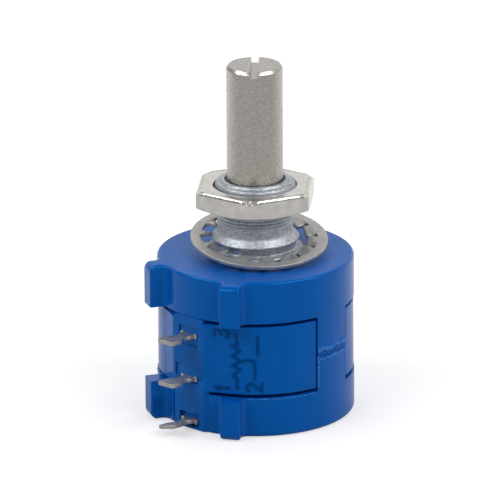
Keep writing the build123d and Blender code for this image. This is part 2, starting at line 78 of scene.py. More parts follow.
# Places read from the frame
front_low, front_high = span("front_cover")
rear_low, rear_high = span("rear_cover")
nut_low, nut_high = span("panel_nut")
shaft_low, shaft_high = span("shaft")
body_r = front_high.x
front_z = front_high.z
rear_z = rear_low.z
shaft_r = shaft_high.x
bushing_end = span("bushing")[1].z
lug_nodes = ("terminal_3", "terminal_1", "terminal_2")
lug_spans = [span(node) for node in lug_nodes]
lug_heights = [(low.z + high.z) / 2 for low, high in lug_spans]
lug_thickness = lug_spans[0][1].z - lug_spans[0][0].z

# Covers
LUG_AZIMUTH = -90.0
window_top = front_z - 4.88
window_bottom = window_top - 8.8
seam_z = (front_low.z + rear_high.z) / 2
cover_bore_r = body_r - 1.1
cover_land_r = body_r - 1.4
tongue_from = 81.0
tongue_to = 107.0
tongue_gap = 0.06
column_step = 1.6  # degrees
edge_rounding = 0.42
RIM_ANGLES = (0, 12, 25, 38, 52, 66, 80, 90)
gate_r = 0.62
gate_depth = 0.6

# Ears, whose root fillets have their centres at (ear_root_u, ear_root_v) from the axis
ear_angle = 28.9
ear_half = 1.15
ear_end_r = body_r + 1.75
ear_end_rounding = 0.9
EAR_RIM_ANGLES = (68, 76, 84, 90)
ear_corner = 0.22
ear_corner_least = 0.02
ear_root = 0.7
ear_root_v = ear_half + ear_root
ear_root_u = sqrt((body_r + ear_root) ** 2 - ear_root_v ** 2)
ear_root_angle = degrees(atan2(ear_root_v, ear_root_u))

# Windows, tube and lug block
window_gap = 0.42
panel_r = body_r - 0.08
panel_low = window_bottom + window_gap
panel_high = window_top - window_gap
tongue_side_gap = 0.95  # degrees
tube_r = cover_bore_r - 0.06
tube_bore_r = tube_r - 1.2
tube_low = rear_z + 1.3
tube_high = front_z - 1.7
panel_back_r = tube_r - 0.2
notch_half = 2.7
notch_angle = degrees(atan2(notch_half, sqrt(body_r ** 2 - notch_half ** 2)))
block_half = 2.15
block_face = body_r + 0.05
block_back = tube_r - 0.6
block_low = rear_z + 0.15
block_high = window_top - 0.04
block_shoulder_half = 2.6
block_shoulder = body_r - 0.45
pocket_half = 1.45
pocket_depth = 1.0
pocket_above = 1.0
pocket_belows = (1.2, 0.5, 0.5)
sill_half = 2.03
sill_height = 1.5
sill_depth = 0.22
flank_root = 2.05
# Flanks as (nearest place to the axis plane, crest's x, crest's rounding), and x of the window's feet
WINDOW_FLANK = (9.8, 2.35, 1.1)
SKIRT_FLANK = (10.0, 2.17, 0.25)
WINDOW_FEET = (4.6, 3.6)

# Solder lugs, with how far each is bent up and twisted, in degrees
LUG_BENDS = ((2.0, 0.0), (3.0, 2.0), (4.0, 13.0))
lug_extra = 0.15  # length that the bent lugs have over the plain model's
lug_tip = lug_extra - lug_spans[1][0].y
lug_root_half = 0.85
lug_neck_half = 0.62
lug_head_half = 1.2
lug_twist_over = 0.8

# Bushing
thread_r = 4.7625
thread_pitch = 25.4 / 32
thread_start = 4.45
thread_end = bushing_end - 0.95
thread_depth = 0.43
thread_slope = 1.35  # above 1, the crests are flat
relief_r = 4.28
relief_start = 2.12
relief_mark = 2.76  # narrow land on the relief
relief_mark_height = 0.035
groove_start = 2.8
groove_depth = 0.13
turning_pitch = 0.4  # feed marks on the relief
lip_r = 4.95
neck_r = 4.6
seat_r = 5.4
foot_r = 3.6
mouth_r = 3.42
mouth_depth = 0.7
bore_low = 3.0
lead_r = 4.5  # unthreaded end
# Steps of its end as (radius, height under the end), and the rounded run of each, inwards and up
LEAD_STEPS = ((lead_r, 0.64), (lead_r - 0.5, 0.32))
STEP_RUN = ((0.0, 0.0), (0.12, 0.26), (0.15, 0.295), (0.2, 0.31), (0.48, 0.315))

# Panel nut
nut_flat_r = 6.35
nut_bore_r = 4.72
nut_turn = 7.2
nut_top_bevel_r = 6.65  # circles that the corners are bevelled from
nut_top_bevel = 28.0
nut_foot_bevel_r = 5.85
nut_foot_bevel = 18.5
nut_countersink = 0.12
# Edge of the nut's upper face as (inset, drop): turned groove, chamfer and its worn lower edge
NUT_EDGE = ((1.0, 0.0), (0.6, 0.0), (0.54, 0.0), (0.5, 0.12), (0.42, 0.12), (0.37, 0.01), (0.33, 0.0),
            (0.2, 0.004), (0.14, 0.03), (0.04, 0.17), (0.01, 0.26), (0.0, 0.38), (0.0, 0.45))
# Edge of its lower face
NUT_FOOT = ((0.3, 0.0), (0.03, 0.0), (0.0, 0.03), (0.0, 0.07), (0.0, 0.12))

# Lockwasher
washer_r = 7.75
washer_ring_r = 6.6
washer_tip_r = 5.45
washer_thickness = 0.46
washer_teeth = 14
washer_first_tooth = 10.7
washer_twist = 27.0
washer_height = 0.8
washer_tilt = 7.9
washer_lean = -29.5
washer_shift = 0.45
washer_shift_azimuth = 30.6
tooth_root_r = washer_ring_r + 0.3
tooth_half = 0.98
tooth_taper = 0.3
tooth_flare = 0.5
tooth_edge = 0.07
tooth_root_thinness = 0.98
# Shares of a tooth's length: where its flare ends, its twist starts, the length of the twist
FLARE_END = 0.35
TWIST_START = 0.12
TWIST_LENGTH = 0.5
ROOT_END = 0.3

# Shaft
tip_extra = 0.2  # height that the photographed tip stands over the plain model's
tip_chamfer = 0.25
tip_chamfer_height = 0.36
slot_depth = 0.72
half_slot = 0.425
slot_azimuth = -49.3
slot_reach = 1.0  # length that the slot's cutter stands out
axis_r = 0.0001
# Shaft below its full diameter as (radius, height): rear journal and step into the bushing
SHAFT_STEPS = ((axis_r, shaft_low.z), (1.25, shaft_low.z), (1.25, -17.1), (2.0, -17.1), (2.0, -4.5),
               (3.0, -4.5), (3.0, bushing_end - 0.75))

# Camera, matched to the photograph
view_azimuth = 42.5
view_elevation = 18.6
view_distance = 900.0
view_scale = 8.884  # photograph's pixels to a millimetre at the shaft axis
view_roll = -0.33
photo_width = 500
axis_from_middle = 5.4  # pixels, shaft axis right of the photograph's middle
middle_height = -0.65  # height on the axis that is level with the photograph's middle


class Shape:
    """Points and faces in millimetres, gathered before they become one piece."""

    def __init__(self):
        self.points = []
        self.faces = []

    def row(self, points):
        start = len(self.points)
        self.points.extend(Vector(point) for point in points)
        return list(range(start, len(self.points)))

    def patch(self, points):
        """Adds a face with points of its own."""
        self.faces.append(tuple(self.row(points)))

    def cap(self, row):
        self.faces.append(tuple(row))

    def strip(self, first, second, closed=False):
        """Faces from one row to the next."""
        count = len(first)
        for k in range(count if closed else count - 1):
            after = (k + 1) % count
            self.faces.append((first[k], first[after], second[after], second[k]))

    def skin(self, rows, capped=True):
        """Closed strips from row to row; the first and last are capped, or joined to each other."""
        for first, second in zip(rows, rows[1:]):
            self.strip(first, second, closed=True)
        if capped:
            self.cap(rows[0])
            self.cap(rows[-1])
        else:
            self.strip(rows[-1], rows[0], closed=True)

    def moved(self, matrix):
        """The shape itself, after the matrix has moved its points."""
        self.points = [matrix @ point for point in self.points]
        return self


def polar(radius, azimuth, height=0.0):
    """Point at a radius and an azimuth in degrees."""
    return Vector((radius * cos(radians(azimuth)), radius * sin(radians(azimuth)), height))


def from_lugs(radius, angle, height=0.0):
    """Point at a radius and an angle in degrees from the lugs' side."""
    return polar(radius, LUG_AZIMUTH + angle, height)


def spread(start, end, count):
    """Evenly spaced numbers from start to end, both included."""
    return [start + (end - start) * k / (count - 1) for k in range(count)]


def ripple_at(x, y, z):
    """Smooth noise between about -1 and 1 that is the same each run."""
    return noise.noise(Vector((x, y, z)))


def rounded_path(corners, closed=True, step=15.0):
    """Path through (x, y, radius) corners with each corner rounded by its radius."""
    path = []
    count = len(corners)
    for k, (x, y, radius) in enumerate(corners):
        here = Vector((x, y))
        if radius <= 0 or (not closed and k in (0, count - 1)):
            path.append(here)
            continue
        back = (Vector(corners[k - 1][:2]) - here).normalized()
        on = (Vector(corners[(k + 1) % count][:2]) - here).normalized()
        opening = back.angle(on)
        reach = radius / tan(opening / 2)
        centre = here + (back + on).normalized() * radius / sin(opening / 2)
        start = here + back * reach - centre
        turn = pi - opening
        if back.x * on.y - back.y * on.x > 0:
            turn = -turn
        pieces = max(2, ceil(degrees(abs(turn)) / step))
        for j in range(pieces + 1):
            swing = turn * j / pieces
            path.append(centre + Matrix.Rotation(swing, 2) @ start)
    return path


def box_path(half_width, half_height, rounding=0.0, step=15.0):
    """Closed path round a rectangle with its middle at zero."""
    signs = ((-1, -1), (1, -1), (1, 1), (-1, 1))
    return rounded_path([(a * half_width, b * half_height, rounding) for a, b in signs], step=step)


def revolved(profile, segments=180, closed=True, ripple=None):
    """Surface of revolution about Z of a path of (radius, height); ripple adds to the radius."""
    shape = Shape()
    rows = []
    for radius, height in profile:
        ring = []
        for k in range(segments):
            azimuth = 360 * k / segments
            extra = ripple(azimuth, radius, height) if ripple else 0.0
            ring.append(polar(radius + extra, azimuth, height))
        rows.append(shape.row(ring))
    shape.skin(rows, capped=not closed)
    return shape


def prism(path, low, high):
    """Upright prism on a closed path."""
    shape = Shape()
    shape.skin([shape.row([(x, y, height) for x, y in path]) for height in (low, high)])
    return shape


def welded_mesh(name, shape, scale):
    """Mesh of a shape, with near points joined and all faces turned outwards."""
    mesh = bpy.data.meshes.new(name)
    mesh.from_pydata([point * scale for point in shape.points], [], shape.faces)
    work = bmesh.new()
    work.from_mesh(mesh)
    bmesh.ops.remove_doubles(work, verts=work.verts, dist=WELD * scale)
    bmesh.ops.recalc_face_normals(work, faces=work.faces)
    work.to_mesh(mesh)
    work.free()
    return mesh


def add_object(name, data):
    """New object in the scene."""
    thing = bpy.data.objects.new(name, data)
    bpy.context.scene.collection.objects.link(thing)
    return thing


def cut(shape, tool):
    """The shape with a closed tool shape taken out of it."""
    body = add_object("cut_body", welded_mesh("cut_body", shape, 1.0))
    cutter = add_object("cut_tool", welded_mesh("cut_tool", tool, 1.0))
    taking = body.modifiers.new("cut", "BOOLEAN")
    taking.object = cutter
    taking.operation = "DIFFERENCE"
    taking.solver = "EXACT"
    mesh = body.evaluated_get(bpy.context.evaluated_depsgraph_get()).to_mesh()
    result = Shape()
    result.row([vertex.co for vertex in mesh.vertices])
    result.faces = [tuple(face.vertices) for face in mesh.polygons]
    for holder in (body, cutter):
        bpy.data.objects.remove(holder)
    return result


def make_piece(name, shape, material, body, stands_for=(), edge=0.0, segments=3, crisp=None):
    """Turns a shape into a piece that rides on a body; edge is the rounding of its sharp edges.

    It is smooth, but for the edges that turn by more than the angle crisp, where one is given.
    """
    mesh = welded_mesh(name, shape, MM)
    mesh.polygons.foreach_set("use_smooth", [True] * len(mesh.polygons))
    if crisp is not None:
        mesh.set_sharp_from_angle(angle=radians(crisp))
    mesh.materials.append(material)
    piece = add_object(name, mesh)
    if edge:
        rounding = piece.modifiers.new("rounding", "BEVEL")
        rounding.width = edge * MM
        rounding.segments = segments
        rounding.limit_method = "ANGLE"
        rounding.angle_limit = radians(ROUND_FROM)
    normals = piece.modifiers.new("normals", "WEIGHTED_NORMAL")
    normals.keep_sharp = True
    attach(piece, body)
    if stands_for:
        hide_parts(*stands_for)


def blue_piece(name, shape, stands_for=(), edge=0.0, material=None, segments=3):
    """Moulded piece of the housing, blue unless a material is given."""
    make_piece(name, shape, material or blue, "housing", stands_for, edge, segments)


# Materials

NOISE_LOW = 0.3  # most of a noise texture's values lie between these two
NOISE_HIGH = 0.7
ROUGHNESS_STEP = 0.03  # height over which a roughness changes


def add_node(tree, kind, inputs=None, operation=None):
    """Node of a kind; each input, by name or place, gets a value or a link from a socket."""
    node = tree.nodes.new("ShaderNode" + kind)
    if operation:
        node.operation = operation
    for key, source in (inputs or {}).items():
        if isinstance(source, bpy.types.NodeSocket):
            tree.links.new(source, node.inputs[key])
        else:
            node.inputs[key].default_value = source
    return node


def new_material(name, colour, metallic, roughness):
    """Material with its node tree, its shader and its object coordinates."""
    material = bpy.data.materials.new(name)
    material.use_nodes = True
    tree = material.node_tree
    shader = tree.nodes["Principled BSDF"]
    shader.inputs["Base Color"].default_value = (*colour, 1.0)
    shader.inputs["Metallic"].default_value = metallic
    shader.inputs["Roughness"].default_value = roughness
    return material, tree, shader, add_node(tree, "TexCoord").outputs["Object"]


def add_noise(tree, place, size, detail, stretch=(1.0, 1.0, 1.0)):
    """Noise with features of a size in millimetres, drawn out along the axes by stretch."""
    scale = [1 / (size * MM * share) for share in stretch]
    mapping = add_node(tree, "Mapping", {"Vector": place, "Scale": scale})
    inputs = {"Vector": mapping.outputs["Vector"], "Scale": 1.0, "Detail": detail}
    return add_node(tree, "TexNoise", inputs).outputs["Fac"]


def vary_colour(tree, shader, factor, low, high):
    """Base colour that goes from low to high with the factor."""
    ramp = add_node(tree, "ValToRGB", {"Fac": factor})
    stops = ramp.color_ramp.elements
    for stop, position, colour in zip(stops, (NOISE_LOW, NOISE_HIGH), (low, high)):
        stop.position = position
        stop.color = (*colour, 1.0)
    tree.links.new(ramp.outputs["Color"], shader.inputs["Base Color"])


def vary_roughness(tree, shader, factor, low, high):
    """Roughness that goes from low to high with the factor."""
    spreader = add_node(tree, "MapRange", {
        "Value": factor, "From Min": NOISE_LOW, "From Max": NOISE_HIGH, "To Min": low, "To Max": high})
    tree.links.new(spreader.outputs["Result"], shader.inputs["Roughness"])


def add_bump(tree, shader, factor, depth, before=None):
    """Relief of a depth in millimetres; before is the normal of a relief under it."""
    bump = add_node(tree, "Bump", {"Distance": depth * MM, "Height": factor})
    if before is not None:
        tree.links.new(before, bump.inputs["Normal"])
    tree.links.new(bump.outputs["Normal"], shader.inputs["Normal"])
    return bump.outputs["Normal"]


def shade(colour, factor):
    """The colour made lighter or darker."""
    return tuple(part * factor for part in colour)


def moulded(name, colour, roughness, grain_depth=0.003, sheen=0.5):
    """Moulded plastic: a fine spark-eroded grain and slow flow marks."""
    material, tree, shader, place = new_material(name, colour, 0.0, roughness)
    shader.inputs["Specular IOR Level"].default_value = sheen
    shader.inputs["Specular Tint"].default_value = (*(part ** 0.35 for part in colour), 1.0)
    grain = add_noise(tree, place, size=0.12, detail=2.0)
    flow = add_noise(tree, place, size=3.5, detail=2.0, stretch=(1.0, 1.0, 2.5))
    vary_colour(tree, shader, flow, shade(colour, 0.95), shade(colour, 1.05))
    vary_roughness(tree, shader, flow, roughness - 0.04, roughness + 0.04)
    under = add_bump(tree, shader, flow, depth=0.006)
    add_bump(tree, shader, grain, grain_depth, before=under)
    return material


def roughen_above(material, height, extra):
    """Adds to a material's roughness over a height in millimetres, as on a face textured in the mould."""
    tree = material.node_tree
    roughness = tree.nodes["Principled BSDF"].inputs["Roughness"]
    place = add_node(tree, "TexCoord")
    split = add_node(tree, "SeparateXYZ", {"Vector": place.outputs["Object"]})
    step = add_node(tree, "MapRange", {
        "Value": split.outputs["Z"], "From Min": (height - ROUGHNESS_STEP) * MM,
        "From Max": height * MM, "To Max": extra})
    total = add_node(tree, "Math", {0: roughness.links[0].from_socket, 1: step.outputs["Result"]}, "ADD")
    tree.links.new(total.outputs["Value"], roughness)


def turned(name, colour, roughness, line=0.05, line_depth=0.002, grain_depth=0.002, mottle=0.06):
    """Metal turned or ground about Z: fine lines round the axis, with a little grain."""
    material, tree, shader, place = new_material(name, colour, 1.0, roughness)
    lines = add_noise(tree, place, line, detail=2.0, stretch=(60.0, 60.0, 1.0))
    grain = add_noise(tree, place, size=0.09, detail=2.0)
    clouds = add_noise(tree, place, size=0.22, detail=5.0, stretch=(2.0, 2.0, 1.0))
    vary_colour(tree, shader, clouds, shade(colour, 1 - mottle), shade(colour, 1 + mottle))
    vary_roughness(tree, shader, grain, roughness - 0.05, roughness + 0.05)
    under = add_bump(tree, shader, lines, line_depth)
    add_bump(tree, shader, grain, grain_depth, before=under)
    return material


def stamped(name, colour, roughness, grain_depth=0.004, metallic=1.0):
    """Plated or tinned sheet: cloudy tone, fine grain and a few scratches."""
    material, tree, shader, place = new_material(name, colour, metallic, roughness)
    clouds = add_noise(tree, place, size=0.9, detail=4.0)
    fine = add_noise(tree, place, size=0.12, detail=2.0)
    scratches = add_noise(tree, place, size=0.05, detail=1.0, stretch=(18.0, 1.0, 1.0))
    vary_colour(tree, shader, clouds, shade(colour, 0.85), shade(colour, 1.1))
    vary_roughness(tree, shader, clouds, roughness - 0.06, roughness + 0.08)
    under = add_bump(tree, shader, fine, grain_depth)
    add_bump(tree, shader, scratches, depth=0.0012, before=under)
    return material


BLUE = (0.0006, 0.098, 0.44)
blue = moulded("blue_plastic", BLUE, 0.16, sheen=0.7)
roughen_above(blue, front_z - 0.01, 0.25)
# Lighter blue of the weld bead, smear and flash: partly the smeared weld's own tone, partly a painted
# highlight on these ridges
blue_weld_and_painted_highlight = moulded("blue_weld_and_painted_highlight", (0.03, 0.185, 0.6), 0.25, grain_depth=0.02)
# Diagram lines darker than the panel: painted shade of the moulded relief lines
diagram_painted_shade = moulded("blue_diagram_painted_shade", shade(BLUE, 0.52), 0.3)
# Darker blue band painted as the shadow in the joint's gap under the weld bead
joint_painted_shadow = moulded("blue_joint_painted_shadow", shade(BLUE, 0.8), 0.5, sheen=0.2)
shaft_metal = turned("ground_steel", (0.53, 0.505, 0.465), 0.28, line=0.13, line_depth=0.004, mottle=0.16)
bushing_metal = turned("turned_nickel", (0.50, 0.53, 0.57), 0.45, line_depth=0.008, grain_depth=0.03,
                       mottle=0.3)
nut_metal = stamped("satin_nickel", (0.80, 0.775, 0.73), 0.2, grain_depth=0.0015)
washer_metal = stamped("zinc_sheet", (0.51, 0.50, 0.48), 0.4, grain_depth=0.012, metallic=0.75)
lug_metal = stamped("tinned_sheet", (0.54, 0.52, 0.49), 0.44, grain_depth=0.014, metallic=0.9)
brass = stamped("contact_brass", (0.75, 0.56, 0.30), 0.25)
bronze = turned("bearing_bronze", (0.60, 0.42, 0.24), 0.35)
wire = turned("resistance_wire", (0.45, 0.42, 0.38), 0.35, line_depth=0.01)
spring = stamped("spring_steel", (0.30, 0.30, 0.31), 0.38)
black = moulded("dark_plastic", (0.02, 0.02, 0.022), 0.45)


# Covers

# Places along half an ear: on its root fillet (degrees), its side (share) and its corner (degrees)
EAR_STATIONS = (
    [("root", angle) for angle in spread(180 - ear_root_angle, 90, 6)]
    + [("side", 0.33), ("side", 0.67)]
    + [("corner", angle) for angle in spread(-90, 0, 6)]
)
CORNER_SHARE = 0.9  # most of an ear's length that its corners may take


def ear_point(part, value, inset, ear_end, corner):
    """Place (out, across) of a station of half an ear whose outline is drawn in by inset."""
    if part == "side":
        return ear_root_u + (ear_end - corner - ear_root_u) * value, inset - ear_half
    turn = radians(value)
    if part == "root":
        fillet = ear_root + inset
        return ear_root_u + fillet * cos(turn), fillet * sin(turn) - ear_root_v
    small = max(corner - inset, ear_corner_least)
    out = ear_end - corner + small * cos(turn) + min(corner, inset)
    return out, max(corner, inset) - ear_half + small * sin(turn)


def arc_columns(stops):
    """Columns on the round skirt from stop to stop, without the last one."""
    columns = []
    for start, end in zip(stops, stops[1:]):
        count = ceil((end - start) / column_step) + 1
        columns += [(angle, None, 1) for angle in spread(start, end, count)[:-1]]
    return columns


def ear_columns(side):
    """Columns round an ear."""
    near = [(side * ear_angle, station, 1) for station in EAR_STATIONS]
    far = [(side * ear_angle, station, -1) for station in reversed(EAR_STATIONS)]
    return near + far


def cover_columns():
    """Columns of a cover's outline in order round the axis: (angle from the lugs, station, half of ear)."""
    stops = (-180.0, -tongue_to, -tongue_from, -ear_angle - ear_root_angle)
    inner_stops = (-ear_angle + ear_root_angle, -notch_angle, notch_angle, ear_angle - ear_root_angle)
    columns = arc_columns(stops)
    columns += [(stops[-1], None, 1)] + ear_columns(-1)[1:]
    columns += arc_columns(inner_stops) + ear_columns(1)
    return columns + arc_columns([-stop for stop in reversed(stops)])


def column_point(column, inset=0.0, ear_end=ear_end_r, corner=ear_corner):
    """Point (x, y) of a column of the outline."""
    angle, station, half = column
    if station is None:
        point = from_lugs(body_r - inset, angle)
        return point.x, point.y
    out, across = ear_point(*station, inset, ear_end, corner)
    across *= half
    turn = radians(LUG_AZIMUTH + angle)
    return out * cos(turn) - across * sin(turn), out * sin(turn) + across * cos(turn)


def angle_from_lugs(x, y):
    """Angle in degrees from the lugs' side, from -180 to 180."""
    angle = degrees(atan2(y, x)) - LUG_AZIMUTH
    return (angle + 180) % 360 - 180


def round_off(radius, drop):
    """Distance that a quarter round of a radius draws in at a drop from its top."""
    left = max(radius - drop, 0.0)
    return radius - sqrt(radius ** 2 - left ** 2)


def rim_steps():
    """Steps down a cover's rounded rim and its ears' larger one: (drop, inset, ear end, corner)."""
    drops = [edge_rounding * (1 - cos(radians(angle))) for angle in RIM_ANGLES]
    drops += [ear_end_rounding * (1 - cos(radians(angle))) for angle in EAR_RIM_ANGLES]
    steps = []
    for drop in drops:
        ear_end = ear_end_r - round_off(ear_end_rounding, drop)
        corner = min(ear_corner, (ear_end - ear_root_u) * CORNER_SHARE)
        steps.append((drop, round_off(edge_rounding, drop), ear_end, corner))
    return steps


def middles_of(angles):
    """Middle angle between each column and the next."""
    middles = []
    for here, after in zip(angles, angles[1:] + angles[:1]):
        if after < here - 180:
            after += 360
        middles.append((here + after) / 2)
    return middles


def cover(end_z, open_z, tongue_z, wall, hole_r, notch):
    """A cover: end face with a rounded rim, skirt, ears and two tongues; notch cuts it at the lugs."""
    inward = 1 if open_z > end_z else -1
    wall_z = end_z + inward * wall
    columns = cover_columns()
    skirt = [column_point(column) for column in columns]
    angles = [angle_from_lugs(x, y) for x, y in skirt]
    shape = Shape()

    def circle(radius, height):
        return shape.row([from_lugs(radius, angle, height) for angle in angles])

    rings = [circle(hole_r, end_z), circle(cover_land_r, end_z)]
    for drop, *outline in rim_steps():
        height = end_z + inward * drop
        rings.append(shape.row([(*column_point(column, *outline), height) for column in columns]))
    rings.append(shape.row([(x, y, open_z) for x, y in skirt]))
    tongue = [shape.row([(x, y, tongue_z) for x, y in skirt]), circle(cover_bore_r, tongue_z)]
    inside = [circle(cover_bore_r, open_z), circle(cover_bore_r, wall_z), circle(hole_r, wall_z)]
    add_cover_faces(shape, middles_of(angles), rings, tongue, inside, notch)
    return shape


def add_cover_faces(shape, middles, rings, tongue, inside, notch):
    """Faces of a cover between its rings, with the tongues' ends and the notch's sides."""
    count = len(middles)
    hole, land = rings[:2]
    in_tongue = [tongue_from < abs(middle) < tongue_to for middle in middles]
    in_notch = [notch and abs(middle) < notch_angle for middle in middles]

    def panel(k, rows):
        after = (k + 1) % count
        for first, second in zip(rows, rows[1:]):
            shape.faces.append((first[k], first[after], second[after], second[k]))

    for k in range(count):
        if in_notch[k]:
            panel(k, [hole, land])
            panel(k, [inside[-1], land])
        else:
            panel(k, rings + (tongue if in_tongue[k] else []) + inside + [hole])
    for k in range(count):
        if in_tongue[k] != in_tongue[k - 1]:
            shape.cap([row[k] for row in (rings[-1], *tongue, inside[0])])
        if in_notch[k] != in_notch[k - 1]:
            shape.cap([row[k] for row in rings[1:] + inside[:2]])


front_cover = cover(front_z, window_top, seam_z + tongue_gap, wall=1.6, hole_r=4.7, notch=False)
blue_piece("front_cover_shell", front_cover, ["front_cover"], edge=0.07)
rear_cover = cover(rear_z, window_bottom, seam_z - tongue_gap, wall=1.2, hole_r=gate_r - 0.02, notch=True)
blue_piece("rear_cover_shell", rear_cover, ["rear_cover"], edge=0.07)
rear_cap = revolved([(gate_r, rear_z), (gate_r, rear_z + gate_depth)], segments=64, closed=False)
blue_piece("rear_gate_mark", rear_cap)


# Element housing behind the windows


def sector(start, end, low, high, outer, inner, step=1.5):
    """Curved panel between two angles from the lugs."""
    shape = Shape()
    angles = spread(start, end, ceil((end - start) / step) + 1)
    rows = []
    for radius, height in ((outer, low), (outer, high), (inner, high), (inner, low)):
        rows.append(shape.row([from_lugs(radius, angle, height) for angle in angles]))
    for first, second in zip(rows, rows[1:] + rows[:1]):
        shape.strip(first, second)
    shape.cap([row[0] for row in rows])
    shape.cap([row[-1] for row in rows])
    return shape


lug_end = tongue_from - tongue_side_gap
back_start = tongue_to + 1.5 * tongue_side_gap
lug_panel = sector(-lug_end, lug_end, panel_low, panel_high, panel_r, panel_back_r)
blue_piece("lug_side_panel", lug_panel, ["element_housing"], edge=0.05)
back_panel = sector(back_start, 360 - back_start, panel_low, panel_high, panel_r, panel_back_r)
blue_piece("back_panel", back_panel, edge=0.05)
tube = revolved([(tube_r, tube_high), (tube_r, tube_low), (tube_bore_r, tube_low), (tube_bore_r, tube_high)])
blue_piece("housing_tube", tube, edge=0.1)


def relief_plate(xs, zs, depth_at, face, back):
    """Plate facing the lugs' side, with a grid of cells at their own depths behind its face."""
    shape = Shape()
    depths = {}
    for i, (left, right) in enumerate(zip(xs, xs[1:])):
        for j, (low, high) in enumerate(zip(zs, zs[1:])):
            depths[i, j] = depth_at((left + right) / 2, (low + high) / 2)
            y = depths[i, j] - face
            shape.patch([(left, y, low), (right, y, low), (right, y, high), (left, y, high)])
    levels = sorted(set(depths.values()))
    deepest = face - back

    def wall(first, second, one, other):
        """Wall on the edge between two cells, divided where another cell's depth meets it."""
        shallow, deep = sorted((one, other))
        stops = [shallow] + [level for level in levels if shallow < level < deep] + [deep]
        for near, far in zip(stops, stops[1:]):
            ends = ((first, near), (second, near), (second, far), (first, far))
            shape.patch([(x, depth - face, z) for (x, z), depth in ends])

    for i in range(-1, len(xs) - 1):
        for j in range(-1, len(zs) - 1):
            here, beside, above = (depths.get(cell, deepest) for cell in ((i, j), (i + 1, j), (i, j + 1)))
            if j >= 0 and beside != here:
                wall((xs[i + 1], zs[j]), (xs[i + 1], zs[j + 1]), here, beside)
            if i >= 0 and above != here:
                wall((xs[i], zs[j + 1]), (xs[i + 1], zs[j + 1]), here, above)
    corners = ((xs[0], zs[0]), (xs[0], zs[-1]), (xs[-1], zs[-1]), (xs[-1], zs[0]))
    shape.patch([(x, -back, z) for x, z in corners])
    return shape


middle_lug = lug_heights[1]
sill_top = middle_lug + sill_height
pockets = [(height - below, height + pocket_above) for height, below in zip(lug_heights, pocket_belows)]


def block_depth(x, z):
    """Depth of the lug block's face at a place: pockets round the lugs, shallow sill at the middle one."""
    if abs(x) < pocket_half and any(low < z < high for low, high in pockets):
        return pocket_depth
    if abs(x) < sill_half and middle_lug < z < sill_top:
        return sill_depth
    return 0.0


block_xs = [-block_half, -sill_half, -pocket_half, pocket_half, sill_half, block_half]
block_zs = sorted({block_low, block_high, middle_lug, sill_top, *[z for pair in pockets for z in pair]})
block = relief_plate(block_xs, block_zs, block_depth, block_face, block_back)
blue_piece("lug_block", block, edge=0.03)
shoulder_xs = [-block_shoulder_half, block_shoulder_half]
shoulder_zs = [block_low, window_bottom + 0.2]
shoulder = relief_plate(shoulder_xs, shoulder_zs, lambda x, z: 0.0, block_shoulder, block_back)
blue_piece("lug_block_shoulder", shoulder, edge=0.06)


def flank(side, low, high, foot, reach, crest, rounding):
    """Slope from a rounded crest at the block's edge down to a foot, (x, distance from the axis plane)."""
    top = block_face + SKIM
    corners = [(flank_root, reach, 0.0), (flank_root, top, 0.0), (crest, top, rounding),
               (*foot, 0.0), (foot[0], reach, 0.0)]
    path = [(side * p.x, -p.y) for p in rounded_path(corners, step=4)]
    return prism(path, low, high)


skirt_foot = (notch_half - 0.03, block_shoulder + 0.05)
for side, label, foot_x in zip((-1, 1), ("left", "right"), WINDOW_FEET):
    window_foot = (foot_x, sqrt(panel_r ** 2 - foot_x ** 2) - OVERLAP)
    window_flank = flank(side, panel_low + OVERLAP, panel_high - OVERLAP, window_foot, *WINDOW_FLANK)
    blue_piece(f"lug_block_flank_{label}", window_flank, edge=0.03)
    skirt_flank = flank(side, block_low, panel_low + 0.1, skirt_foot, *SKIRT_FLANK)
    blue_piece(f"lug_block_foot_{label}", skirt_flank, edge=0.03)


# Weld along the seam of the tongues, and moulding flash, in a lighter blue that is partly painted highlight

# Bead, a dark band under it that is painted shadow of the joint's gap, and smear below, as (middle over the
# joint, half height, bulge)
SEAM_BANDS = (
    ("seam_weld", (0.16, 0.26, 0.11), blue_weld_and_painted_highlight),
    ("seam_painted_shadow", (-0.5, 0.2, 0.003), joint_painted_shadow),
    ("seam_smear", (-1.0, 0.13, 0.05), blue_weld_and_painted_highlight),
)
# Noise waves to a degree round the body: the band's middle line, its ragged edges and their detail
WAVES = (0.3, 0.7, 1.8)
wave_height = 0.22
raggedness = 1.3
band_depth = 0.15
# Flash: noise waves to a millimetre (or degree), and how much they change its width and height
FLASH_WAVES = (3.2, 2.5)
RIM_FLASH_WAVE = 0.6
flash_wander = 0.35  # degrees
FLASH_HALF = (0.75, 0.5)  # degrees: plain half width, change
FLASH_RIDGE = (0.06, 0.1)
RIM_RIDGE = (0.03, 0.14)
flash_root_r = body_r - 0.06
rim_flash_height = 0.2
rim_flash_start = 38.0


def seam_band(side, seed, middle, half, bulge):
    """Uneven band along the seam, its middle line a little above or below the joint."""
    shape = Shape()
    slow, ragged_rate, fine = WAVES
    angles = spread(tongue_from + 0.2, tongue_to - 0.2, 120)
    rows = []
    for share in spread(-1.0, 1.0, 9):
        row = []
        for angle in angles:
            wave = ripple_at(angle * slow, middle, seed)
            ragged = ripple_at(angle * ragged_rate, 5.0 + share, seed + middle)
            ragged += 0.5 * ripple_at(angle * fine, 5.0 + 2 * share, seed)
            uneven = 1 + raggedness * ragged
            height = seam_z + middle + wave_height * wave + share * half * max(0.15, uneven)
            rise = bulge * sqrt(1 - share * share) * max(0.1, uneven)
            row.append(from_lugs(body_r + SKIM + rise, side * angle, height))
        rows.append(shape.row(row))
    for first, second in zip(rows, rows[1:]):
        shape.strip(first, second)
    back = shape.row([from_lugs(body_r - band_depth, side * angle, seam_z + middle) for angle in angles])
    shape.strip(rows[-1], back)
    shape.strip(back, rows[0])
    for k in (0, -1):
        shape.cap([row[k] for row in rows] + [back[k]])
    return shape


